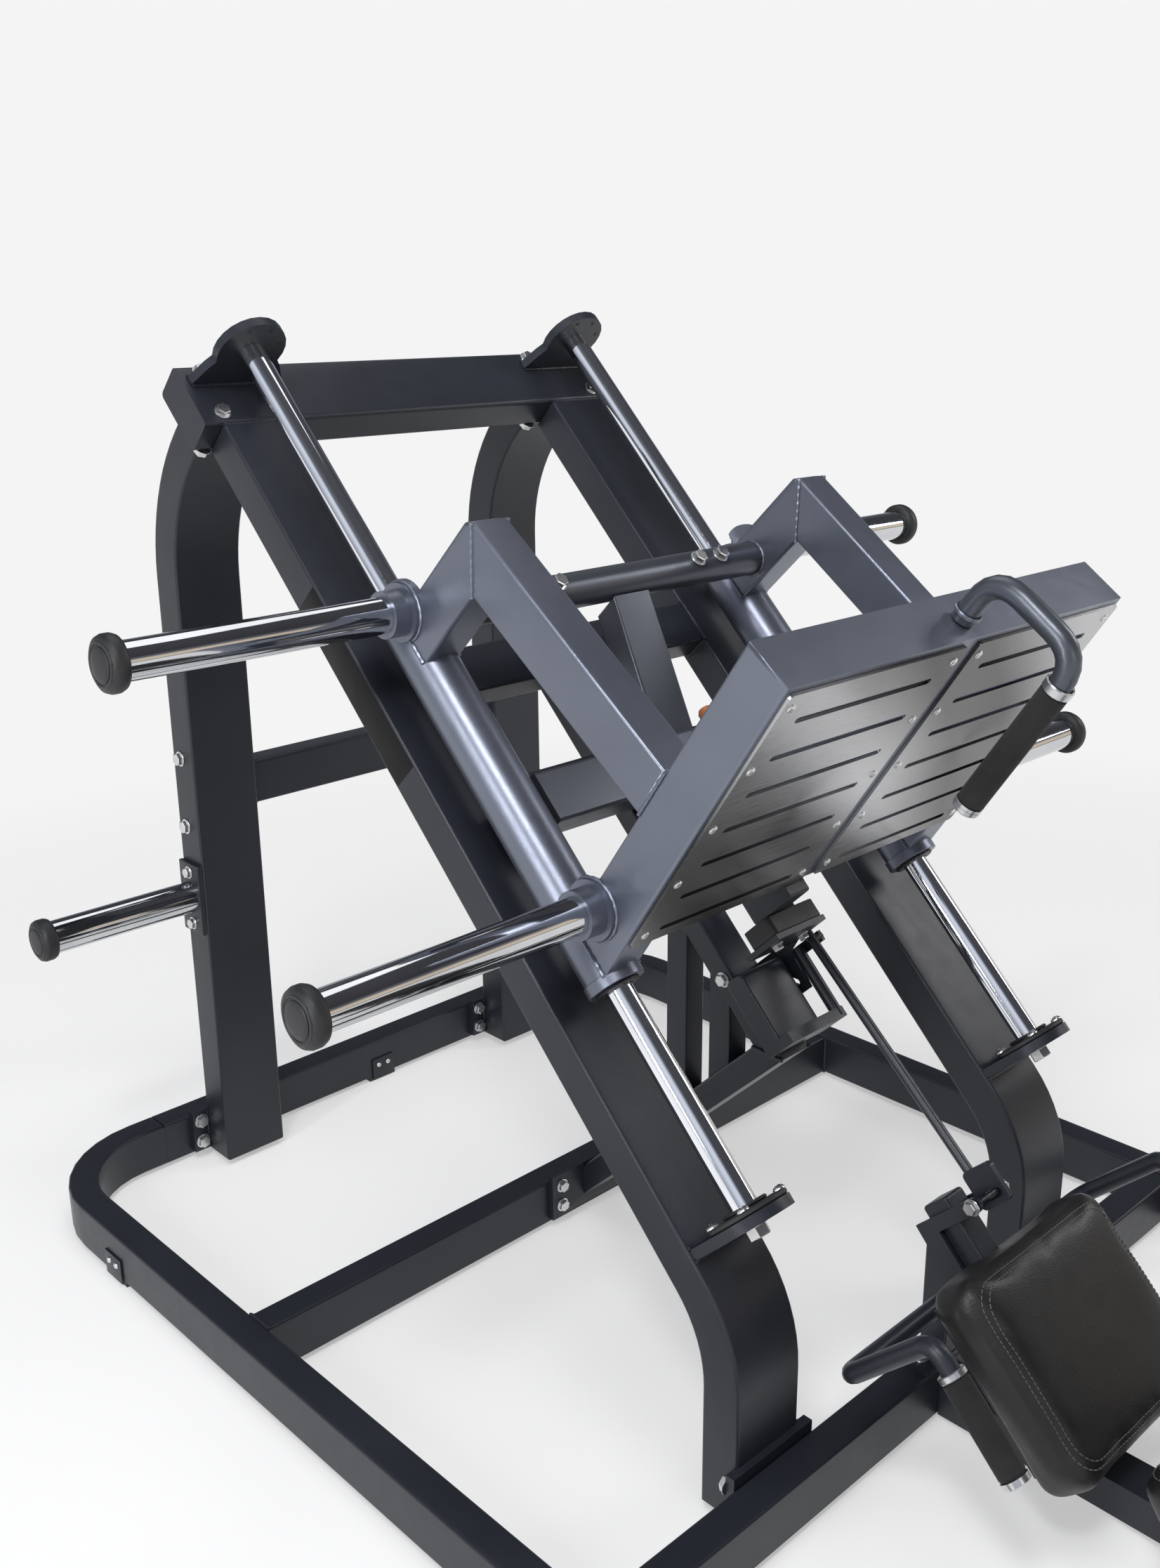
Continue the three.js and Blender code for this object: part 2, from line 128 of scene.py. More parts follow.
def texture(nt, kind, scale, stretch=(1, 1, 1), detail=4.0):
    t = nt.nodes.new("ShaderNodeTexNoise" if kind == "noise" else "ShaderNodeTexVoronoi")
    t.inputs["Scale"].default_value = scale
    if kind == "noise":
        t.inputs["Detail"].default_value = detail
    link(nt, mapped(nt, stretch), t.inputs["Vector"])
    return t.outputs[0]


def span(nt, value, low, high, a=0.3, b=0.7):
    """The value's range a to b, spread over low to high."""
    r = nt.nodes.new("ShaderNodeMapRange")
    for k, v in (("From Min", a), ("From Max", b), ("To Min", low), ("To Max", high)):
        r.inputs[k].default_value = v
    link(nt, value, r.inputs["Value"])
    return r.outputs[0]


def tint(nt, b, value, dark, light, a=0.3, c=0.7):
    ramp = nt.nodes.new("ShaderNodeValToRGB")
    ramp.color_ramp.elements[0].position = a
    ramp.color_ramp.elements[1].position = c
    ramp.color_ramp.elements[0].color = (*dark, 1)
    ramp.color_ramp.elements[1].color = (*light, 1)
    link(nt, value, ramp.inputs["Fac"])
    link(nt, ramp.outputs["Color"], b.inputs["Base Color"])


def bump(nt, b, value, strength, distance):
    n = nt.nodes.new("ShaderNodeBump")
    n.inputs["Strength"].default_value = strength
    n.inputs["Distance"].default_value = distance
    link(nt, value, n.inputs["Height"])
    link(nt, n.outputs["Normal"], b.inputs["Normal"])


def powder(name, dark, light, metallic, rough):
    """Powder coat: a faint cloud of tone and a fine orange-peel grain."""
    m, nt, b = new_material(name, dark, metallic, rough)
    tint(nt, b, texture(nt, "noise", 5.0), dark, light)
    link(nt, span(nt, texture(nt, "noise", 40.0), rough - 0.02, rough + 0.03), b.inputs["Roughness"])
    bump(nt, b, texture(nt, "noise", 900.0, detail=2.0), 0.22, 0.0006)
    return m


FRAME_PAINT = powder("frame_paint", (0.0120, 0.0140, 0.0200), (0.0170, 0.0195, 0.0275), 0.15, 0.37)
SLED_PAINT = powder("sled_paint", (0.160, 0.174, 0.218), (0.190, 0.206, 0.256), 0.78, 0.32)
# A darker copy of the sled paint, for the foot handle, cross tube, centre strut and rear crossbar
DARKER_SLED_PAINT = powder("darker_sled_paint", (0.078, 0.085, 0.103), (0.094, 0.102, 0.123), 0.65, 0.30)


def chrome_material(name, dark, light):
    m, nt, b = new_material(name, dark, 1.0, 0.06)
    streak = texture(nt, "noise", 60.0, (6, 6, 6))
    link(nt, span(nt, streak, 0.04, 0.10), b.inputs["Roughness"])
    tint(nt, b, texture(nt, "noise", 9.0), dark, light)
    return m


def brushed_material():
    """Tread plates: fine lines along x, and a broad diagonal wave of painted highlight and painted shade across
    them.
    """
    m, nt, b = new_material("tread", (0.30, 0.30, 0.30), 1.0, 0.30, Anisotropic=0.6)
    line = texture(nt, "noise", 8.0, (2, 220, 220), 5.0)
    # Painted highlight and painted shade: a broad diagonal wave of light and dark bands in the base colour
    painted_highlight_wave = nt.nodes.new("ShaderNodeTexWave")
    painted_highlight_wave.bands_direction = "DIAGONAL"
    for k, v in (("Scale", 1.0), ("Distortion", 1.1), ("Detail", 1.0), ("Detail Scale", 1.4)):
        painted_highlight_wave.inputs[k].default_value = v
    link(nt, mapped(nt, (1.0, 0.0, 1.2)), painted_highlight_wave.inputs["Vector"])
    # The colour: the brushed lines plus the painted highlight wave
    lines_and_painted_highlight = nt.nodes.new("ShaderNodeMath")
    lines_and_painted_highlight.operation = "MULTIPLY_ADD"
    lines_and_painted_highlight.inputs[1].default_value = 0.24
    link(nt, line, lines_and_painted_highlight.inputs[0])
    link(nt, span(nt, painted_highlight_wave.outputs[1], 0.02, 0.62, 0.10, 0.98), lines_and_painted_highlight.inputs[2])
    tint(nt, b, lines_and_painted_highlight.outputs[0], (0.085, 0.082, 0.080), (0.62, 0.62, 0.63), 0.12, 0.80)
    link(nt, span(nt, line, 0.24, 0.40), b.inputs["Roughness"])
    bump(nt, b, line, 0.05, 0.0003)
    return m


def grained(name, dark, light, rough, kind, scale, strength, distance, metallic=0.0, **sockets):
    """Tone that varies a little, with a grain of the given kind, scale, bump strength and depth."""
    m, nt, b = new_material(name, dark, metallic, rough, **sockets)
    tint(nt, b, texture(nt, "noise", 14.0), dark, light)
    bump(nt, b, texture(nt, kind, scale, detail=3.0), strength, distance)
    link(nt, span(nt, texture(nt, "noise", 30.0), rough - 0.06, rough + 0.06), b.inputs["Roughness"])
    return m


CHROME = chrome_material("chrome", (0.56, 0.57, 0.59), (0.68, 0.69, 0.71))
ROD_CHROME = chrome_material("rod_chrome", (0.82, 0.85, 0.90), (0.90, 0.92, 0.96))
TREAD = brushed_material()
RUBBER = grained("rubber", (0.009, 0.0095, 0.011), (0.015, 0.0155, 0.0175), 0.50,
                 "noise", 500.0, 0.25, 0.0006)
FOAM = grained("foam", (0.006, 0.006, 0.0065), (0.012, 0.012, 0.013), 0.88,
               "voronoi", 700.0, 0.5, 0.0008, Sheen_Weight=0.04)
VINYL = grained("vinyl", (0.0065, 0.0063, 0.0065), (0.0105, 0.0102, 0.0105), 0.43,
                "voronoi", 420.0, 0.35, 0.0005)
THREAD = grained("thread", (0.055, 0.055, 0.057), (0.095, 0.095, 0.098), 0.6,
                 "noise", 900.0, 0.4, 0.0004)
ZINC = grained("zinc", (0.62, 0.62, 0.62), (0.78, 0.78, 0.78), 0.30,
               "noise", 300.0, 0.15, 0.0003, metallic=1.0)
ALU = grained("aluminium", (0.55, 0.56, 0.58), (0.66, 0.67, 0.69), 0.28,
              "noise", 250.0, 0.12, 0.0003, metallic=1.0)
STRIP = grained("strip", (0.0015, 0.0015, 0.002), (0.0025, 0.0025, 0.003), 0.42,
                "noise", 120.0, 0.06, 0.0003, Specular_IOR_Level=0.22)
AMBER = grained("bumper", (0.30, 0.10, 0.03), (0.38, 0.14, 0.05), 0.5,
                "noise", 200.0, 0.2, 0.0005)

BY_SLOT = {"frame_paint": FRAME_PAINT, "sled_paint": SLED_PAINT, "chrome": CHROME, "tread": TREAD,
           "rubber": RUBBER, "foam": FOAM, "vinyl": VINYL}
SLOT_OF = {p["node"]: p["material_slot"] for p in frame["record"]["subparts"]}
WELD_DISTANCE, CAD_CREASE = 0.00002, math.radians(50)
DARK_SLED = ("foot_handle", "sled_cross_tube", "sled_centre_strut", "sled_rear_crossbar")
for name, obj in frame["nodes"].items():
    obj.data.materials.clear()
    special = DARKER_SLED_PAINT if name in DARK_SLED else ROD_CHROME if name.startswith("guide_rod") else None
    obj.data.materials.append(special or BY_SLOT[SLOT_OF[name]])
    # Rounded edges and bends shade as one surface, and edges sharper than this stay sharp.
    obj.data.polygons.foreach_set("use_smooth", [True] * len(obj.data.polygons))
    weld = obj.modifiers.new("weld", "WELD")
    weld.merge_threshold = WELD_DISTANCE
    split = obj.modifiers.new("split", "EDGE_SPLIT")
    split.split_angle, split.use_edge_sharp = CAD_CREASE, False
    normals = obj.modifiers.new("normals", "WEIGHTED_NORMAL")
    normals.keep_sharp = False


# ---------------------------------------------------------------- mesh helpers
def facing(at, direction, turn=0.0):
    """A frame at a point, with z along the direction."""
    return Matrix.Translation(at) @ Vector(direction).to_track_quat("Z", "Y").to_matrix().to_4x4() \
        @ Matrix.Rotation(turn, 4, "Z")


SMALL_PART_CREASE = math.radians(35)


class Group:
    """One mesh made of many small parts that share a body and a material."""

    def __init__(self, name, body, material, slot):
        self.name, self.body, self.material, self.slot = name, body, material, slot
        self.bm = bmesh.new()

    def skin(self, rings, sides, closed):
        for a, b in zip(rings, rings[1:]):
            for k in range(sides):
                self.bm.faces.new((a[k], a[(k + 1) % sides], b[(k + 1) % sides], b[k]))
        if closed:
            self.bm.faces.new(rings[0][::-1])
            self.bm.faces.new(rings[-1])

    def lathe(self, m, profile, sides=24, closed=True):
        """A round solid from (radius, height) pairs."""
        rings = []
        for r, z in profile:
            rings.append([self.bm.verts.new(m @ Vector((
                r * math.cos(2 * math.pi * k / sides), r * math.sin(2 * math.pi * k / sides), z)))
                for k in range(sides)])
        self.skin(rings, sides, closed)

    def ring(self, m, outer, inner, z0, z1, edge=0.0012, sides=40):
        """A ring between two radii and two heights, with chamfered edges."""
        self.lathe(m, [(inner, z0 + edge), (inner + edge, z0), (outer - edge, z0), (outer, z0 + edge),
                       (outer, z1 - edge), (outer - edge, z1), (inner + edge, z1), (inner, z1 - edge),
                       (inner, z0 + edge)], sides, closed=False)

    def hexbolt(self, at, direction, af, head, turn=0.3):
        """A washer with a hexagon head on it, its width across flats being af."""
        m = facing(at, direction, turn)
        r = af / math.sqrt(3)
        self.ring(m, af * 0.68, af * 0.2, 0.0, 0.0016, 0.0004, 28)
        self.lathe(m, [(r, 0.0014), (r, head), (r * 0.86, head + 0.0012)], 6)

    def dome(self, at, direction, r, h):
        """A round screw head with a small recess in the middle."""
        m = facing(at, direction)
        steps = [(r * math.cos(a), h * math.sin(a)) for a in [i * math.pi / 14 for i in range(7)]]
        self.lathe(m, [(r, -0.0004)] + steps + [(r * 0.32, h * 0.97), (r * 0.26, h * 0.45)], 24)

    def tube(self, points, r, sides=8, wobble=0.0):
        """A tube along points, with a radius that may vary by the share given as wobble."""
        rings, side = [], None
        for i, p in enumerate(points):
            d = (points[min(i + 1, len(points) - 1)] - points[max(i - 1, 0)]).normalized()
            if side is None:
                side = d.orthogonal().normalized()
            side = (side - d * side.dot(d)).normalized()
            up = d.cross(side)
            rr = r * (1 + wobble * math.sin(i * 2.1) + 0.5 * wobble * noise.noise(p * 90))
            rings.append([self.bm.verts.new(p + side * rr * math.cos(2 * math.pi * k / sides)
                                            + up * rr * math.sin(2 * math.pi * k / sides))
                          for k in range(sides)])
        self.skin(rings, sides, closed=True)

    def bead(self, corners, r=0.0028, step=0.004):
        """A rippled weld bead along a chain of points."""
        pts = []
        for a, b in zip(corners, corners[1:]):
            count = max(2, int((b - a).length / step))
            pts += [a.lerp(b, i / count) for i in range(count)]
        self.tube(pts + [corners[-1]], r, 7, 0.22)

    def slab(self, m, size, edge=0.001):
        """A box with rounded edges."""
        made = bmesh.ops.create_cube(self.bm, size=1.0, matrix=m @ Matrix.Diagonal((*size, 1)))
        edges = list({e for v in made["verts"] for e in v.link_edges})
        bmesh.ops.bevel(self.bm, geom=edges, offset=edge, segments=2, affect="EDGES", profile=0.6)

    def finish(self):
        bmesh.ops.recalc_face_normals(self.bm, faces=self.bm.faces[:])
        mesh = bpy.data.meshes.new(self.name)
        self.bm.to_mesh(mesh)
        self.bm.free()
        obj = bpy.data.objects.new(self.name, mesh)
        bpy.context.collection.objects.link(obj)
        mesh.materials.append(self.material)
        for p in mesh.polygons:
            p.use_smooth = True
        with bpy.context.temp_override(object=obj, active_object=obj, selected_objects=[obj],
                                       selected_editable_objects=[obj]):
            bpy.ops.object.shade_smooth_by_angle(angle=SMALL_PART_CREASE)
        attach(obj, self.body)
        return obj


# ---------------------------------------------------------------- fasteners
bolts = Group("bolts_frame", "frame", ZINC, "chrome")
LEG_SPREAD = 0.992  # the front legs' base plates have their bolts this much closer together
for side, _ in SIDES:
    # base plates of the uprights and of the front legs
    for x in (396, 252):
        for z in (34, 74):
            bolts.hexbolt(world(side * x, 599, z), -Y, *PLATE_BOLT)
            bolts.hexbolt(world(side * x * LEG_SPREAD, -644, z + 4), Y, *PLATE_BOLT)
    # upright, at the tie bar and at the storage peg's plate
    for z in (751, 633):
        bolts.hexbolt(world(side * RAIL_OUTER, 579, z), X * side, *PLATE_BOLT)
    for z in (555, 463):
        bolts.hexbolt(world(side * 390, PEG_Y, z), X * side, *PEG_BOLT)
    # rubber rings' screws on the lower rod bracket, and the guide rod's two ends
    for k in range(4):
        a = math.radians(45 + 90 * k)
        bolts.dome(rail(side * ROD_X + 47 * math.cos(a), -858, 47 * math.sin(a)), RAIL_S, 0.0085, 0.006)
    bolts.hexbolt(rail(side * ROD_X, -880, 0), -RAIL_S, *ROD_END_NUT)
    bolts.hexbolt(rail(side * ROD_X, 536, 0), RAIL_S, *ROD_END_BOLT)
    # top crossbar, from above and from below
    for x, s in ((373, 470), (373, 545), (269, 545)):
        bolts.hexbolt(rail(side * x, s, -65), RAIL_N, *PLATE_BOLT)
    for x in (390, 251):
        bolts.hexbolt(rail(side * x, 457, -125), -RAIL_N, *BEAM_BOLT)
    # mid crossbar, backrest hinge and seat beam
    for z in (38, 74):
        bolts.hexbolt(world(side * 79, -8, z), -Y, *LOW_BOLT)
    bolts.hexbolt(world(side * 43, -1090, 97.6), X * side, *HINGE_BOLT)
    bolts.hexbolt(world(side * 42, -682, 92), Z, *SEAT_BOLT)
bolts.hexbolt(rail(-30, -572, -133), -X, *LOW_BOLT)
bolts.finish()

# The foot plate's face: down it and out of it, from its upper edge
face_down = RAIL_TURN @ Vector((0, -93, -432)).normalized()
face_out = RAIL_TURN @ Vector((0, -432, 93)).normalized()
FACE_TOP = (-430, 511)


def on_face(x, down, out):
    return rail(x, *FACE_TOP) + face_down * down / 1000 + face_out * out / 1000


sled_bolts = Group("bolts_sled", "sled", ZINC, "chrome")
for side, _ in SIDES:
    for x in (27, 332):
        for i in range(5):
            sled_bolts.dome(on_face(side * x, 30 + i * 97, 4.3), face_out, 0.0062, 0.0028)
for x in (-139, 150, 200):
    sled_bolts.hexbolt(rail(x, -14, 105.6), RAIL_N, *TUBE_BOLT)
sled_bolts.finish()

# ---------------------------------------------------------------- rings, seals, buffers, collars
# Rubber rings on the lower rod brackets, and small screw rims under the rod ears
rubber = Group("rod_buffers", "frame", RUBBER, "rubber")
for side, _ in SIDES:
    at = facing(rail(side * ROD_X, -866, 0), RAIL_S)
    rubber.ring(at, 0.055, ROD_HOLE, 0.0003, 0.008, 0.002)
    rubber.ring(at, 0.031, ROD_HOLE, 0.0083, 0.013, 0.002)
    for k in range(4):
        a = math.radians(20 + 47 * k)
        spot = rail(side * ROD_X + 44 * math.cos(a), 521.5, 44 * math.sin(a))
        rubber.ring(facing(spot, -RAIL_S), 0.0034, 0.0012, 0.0, 0.0006, 0.0002, 16)
rubber.finish()

# Raised ends of the sleeves, and the ring at the foot handle's base
seals = Group("sleeve_rings", "sled", SLED_PAINT, "sled_paint")
for side, _ in SIDES:
    for s in (-538, 36):
        seals.ring(facing(rail(side * ROD_X, s, 0), RAIL_S), 0.0402, 0.0381, -0.008, 0.008, 0.0007)
arm = RAIL_TURN @ Vector((0, 13.5, 71.8)).normalized()
seals.ring(facing(rail(0, -399.8, 518), arm), 0.0185, 0.0151, 0.0, 0.006, 0.0015)
seals.finish()
wipers = Group("sleeve_wipers", "sled", RUBBER, "rubber")
for side, _ in SIDES:
    for s, d in ((-546, -1), (44, 1)):
        wipers.ring(facing(rail(side * ROD_X, s, 0), RAIL_S * d), 0.031, ROD_HOLE, 0.0003, 0.004, 0.0012)
wipers.finish()

# The foot handle's straight grip: a foam sleeve between two metal collars
grip_a, grip_b = Vector((0, -528, 605)), Vector((0, -582, 363))
grip_dir = RAIL_TURN @ (grip_b - grip_a).normalized()
COLLAR_START, FOAM_START, FOAM_END, COLLAR_END = 0.160, 0.215, 0.955, 0.957


def along(t):
    p = grip_a.lerp(grip_b, t)
    return rail(p.x, p.y, p.z)


collars = Group("handle_collars", "sled", ALU, "chrome")
collars.ring(facing(along(COLLAR_START), grip_dir), 0.0188, FOOT_BAR_HOLE, 0.0, 0.013, 0.0015)
collars.lathe(facing(along(COLLAR_END), grip_dir),
              [(0.0186, 0.0), (0.0186, 0.0045), (0.0176, 0.005), (0.0186, 0.0055), (0.0186, 0.011),
               (0.0165, 0.013)], 36)
collars.finish()

foot_grip = Group("foot_grip_foam", "sled", FOAM, "foam")
foam_length = (along(FOAM_END) - along(FOAM_START)).length
foot_grip.ring(facing(along(FOAM_START), grip_dir), 0.0180, FOOT_BAR_HOLE, 0.0, foam_length, 0.0022, 56)
foam = foot_grip.finish()
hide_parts("foot_handle_grip")

# The release handles' foam sleeves and metal end caps
for side, tag in SIDES:
    grip = Group(f"release_grip_{tag}", "release_handle", FOAM, "foam")
    grip.ring(facing(rail(side * GRIP_X, -1130, GRIP_N), -RAIL_S), 0.0172, GRIP_BAR_HOLE, 0.0, 0.116, 0.003)
    grip.finish()
    cap = Group(f"release_grip_cap_{tag}", "release_handle", ALU, "chrome")
    cap.ring(facing(rail(side * GRIP_X, -1121, GRIP_N), -RAIL_S), 0.0178, GRIP_BAR_HOLE, 0.0, 0.0085, 0.0012)
    cap.lathe(facing(rail(side * GRIP_X, -1246.3, GRIP_N), -RAIL_S),
              [(0.0178, 0.0), (0.0178, 0.0075), (0.0155, 0.009)], 32)
    cap.finish()


def cap_face(group, at, direction, r):
    """A rounded lip, a groove and a slightly domed middle."""
    m = facing(at, direction)
    group.ring(m, r, r - 0.0045, -0.001, 0.0010, 0.0009, 48)
    inner = r - 0.0062
    group.lathe(m, [(inner, -0.001), (inner, 0.0008), (inner * 0.96, 0.0016), (inner * 0.7, 0.0026),
                    (inner * 0.35, 0.0032), (inner * 0.05, 0.0034)], 40)


faces = Group("horn_cap_faces", "sled", RUBBER, "rubber")
for side, _ in SIDES:
    for s, n in HORNS:
        cap_face(faces, rail(side * 788, s, n), X * side, 0.0285)
faces.finish()
peg_faces = Group("peg_cap_faces", "frame", RUBBER, "rubber")
for side, _ in SIDES:
    cap_face(peg_faces, world(side * 663, PEG_Y, 511), X * side, 0.0275)
peg_faces.finish()

# Painted plates that hold the storage pegs
plates = Group("peg_plates", "frame", FRAME_PAINT, "frame_paint")
for side, _ in SIDES:
    plates.slab(Matrix.Translation(world(side * 386.35, PEG_Y, 509)), (0.0083, 0.0610, 0.1250), 0.002)
plates.finish()

# Bolts on the stop and on the lever
stop_bolts = Group("bolts_stop", "stop_catch", ZINC, "chrome")
for x, n in ((-26, -9), (33, -12)):
    stop_bolts.hexbolt(rail(x, -579, n), -RAIL_S, *STOP_BOLT)
stop_bolts.finish()
lever_bolts = Group("bolts_lever", "release_handle", ZINC, "chrome")
for side, _ in SIDES:
    lever_bolts.hexbolt(rail(side * 34, -1001, 50), X * side, *LOW_BOLT)
lever_bolts.finish()

# Foot clips: a small plate and two screws on each side of the rail at each rubber foot
clips = Group("foot_clips", "frame", FRAME_PAINT, "frame_paint")
clip_bolts = Group("foot_clip_screws", "frame", ZINC, "chrome")
CLIP_THICK, CLIP_WIDE, CLIP_HIGH = 0.003, 0.050, 0.042
CLIP_OUT, CLIP_Z, SCREW_OUT, SCREW_Z, SCREW_APART = 25.6, 26, 27, 33, (-11, 11)
CLIP_SCREW = (0.0052, 0.004)
for x, y in FEET:
    for d in (-1, 1):
        clips.slab(Matrix.Translation(world(x + d * CLIP_OUT, y, CLIP_Z)), (CLIP_THICK, CLIP_WIDE, CLIP_HIGH))
        for e in SCREW_APART:
            clip_bolts.dome(world(x + d * SCREW_OUT, y + e, SCREW_Z), X * d, *CLIP_SCREW)
# the fifth foot, on the rear base bar, with its clips turned
for d in (-1, 1):
    clips.slab(Matrix.Translation(world(13, 637 + d * CLIP_OUT, CLIP_Z)), (CLIP_WIDE, CLIP_THICK, CLIP_HIGH))
    for e in SCREW_APART:
        clip_bolts.dome(world(13 + e, 637 + d * SCREW_OUT, SCREW_Z), Y * d, *CLIP_SCREW)
clips.finish()
clip_bolts.finish()

# Plain strips on the outer side of each rail
for side, tag in SIDES:
    strip = Group(f"rail_strip_{tag}", "frame", STRIP, "frame_paint")
    at = Matrix.Translation(rail(side * 382.2, 2, -95)) @ RAIL_TURN.to_4x4()
    strip.slab(at, (0.0005, 0.304, 0.051), 0.0002)
    strip.finish()

# Bumper under the sled's centre strut
amber = Group("strut_bumper", "sled", AMBER, "rubber")
amber.lathe(facing(rail(112, -232, -12), RAIL_S),
            [(0.010, 0.0), (0.013, 0.003), (0.013, 0.022), (0.009, 0.028)], 28)
amber.finish()

# ---------------------------------------------------------------- weld beads
welds = Group("welds_frame", "frame", FRAME_PAINT, "frame_paint")
BASE_BAR_X, EAR_HALF, PLATE_TOP_N = 637, 76, -64


def weld_loop(points):
    welds.bead(points + [points[0]])


for side, _ in SIDES:
    # crossbars into the base's side rails
    for y in (26, -682):
        weld_loop([world(side * BASE_BAR_X, y + a, z) for a, z in ((-24, 84), (24, 84), (24, 10), (-24, 10))])
    # rail crossmembers and the upright tie bar
    for s in (-63, -280):
        weld_loop([rail(side * RAIL_INNER, s + a, n) for a, n in ((0, -65), (76, -65), (76, -113), (0, -113))])
    weld_loop([world(side * RAIL_INNER, y, z) for y, z in ((546, 654), (596, 654), (596, 729), (546, 729))])
    # lower rod brackets, rod ears and top crossbar
    for s in (BRACKET_HIGH, BRACKET_LOW):
        welds.bead([rail(side * 267, s, PLATE_TOP_N), rail(side * 379, s, PLATE_TOP_N)])
    for s in (EAR_LOW, EAR_HIGH):
        welds.bead([rail(side * x, s, PLATE_TOP_N) for x in (ROD_X - EAR_HALF, ROD_X + EAR_HALF)])
    welds.bead([rail(side * RAIL_OUTER, 448, -66), rail(side * RAIL_INNER, 448, -66)])
    # base plates of the uprights and of the front legs
    for x in (RAIL_OUTER, RAIL_INNER):
        welds.bead([world(side * x, 600, 17), world(side * x, 600, 92)])
        welds.bead([world(side * x, -645, 17), world(side * x, -645, 98)])
    # stop housing and stop beam
    welds.bead([rail(side * 31, -674, -152), rail(side * 31, -714, -114)])
    for y in (-225, -185, -311, -271):
        s = (y + -152 * math.sin(ANGLE)) / math.cos(ANGLE)
        welds.bead([rail(-20, s, -153), rail(20, s, -153)])
welds.finish()

sled_welds = Group("welds_sled", "sled", SLED_PAINT, "sled_paint")
THIN_BEAD, BEAD, THICK_BEAD = 0.0026, 0.003, 0.0032
HORN_WELD, FRAME_TOP_N = 41, 24
for side, _ in SIDES:
    # horn sockets, as far as they stand above the side frame's foot
    for s, n in HORNS:
        pts = []
        for k in range(25):
            a = 2 * math.pi * k / 24
            if n + HORN_WELD * math.sin(a) > FRAME_TOP_N:
                pts.append(rail(side * 355, s + HORN_WELD * math.cos(a), n + HORN_WELD * math.sin(a)))
        sled_welds.bead(pts, THIN_BEAD)
    # corners of the side frames, and their joint with the foot plate's frame
    for x in (294.5, 353.5):
        sled_welds.bead([rail(side * x, 14, 238), rail(side * x, -52, 168)], THICK_BEAD)
        sled_welds.bead([rail(side * x, -399, 297), rail(side * x, -413, 224)], THIN_BEAD)
    sled_welds.bead([rail(side * 297, -399, 299), rail(side * 351, -399, 299)], THIN_BEAD)
    # cross tube
    sled_welds.bead([rail(side * 294, -14 + 27 * math.cos(math.pi * k / 12), 80 + 27 * math.sin(math.pi * k / 12))
                     for k in range(25)], THIN_BEAD)
    # side frames on the sleeves
    for low, high in ((-50, 22), (-534, -456)):
        for x, n in ((ROD_X + 31.5, 23), (ROD_X - 29.5, 24.5)):
            sled_welds.bead([rail(side * x, low, n), rail(side * x, high, n)], BEAD)
sled_welds.finish()


# ---------------------------------------------------------------- cushions
CUSHION_VOXEL, PRESSURE, CLOTH_FRAMES, SOFTEN_STEPS = 0.006, 4, 20, 18
SHRINK_X, SHRINK_Y, SHRINK_Z = 0.992, 1.002, 0.90  # the start shape, before the cloth swells
CROWN = 0.006
STITCH_INSETS, STITCH_CORNER, STITCH_PITCH, THREAD_R = (0.020, 0.027), 0.03, 0.0065, 0.0008


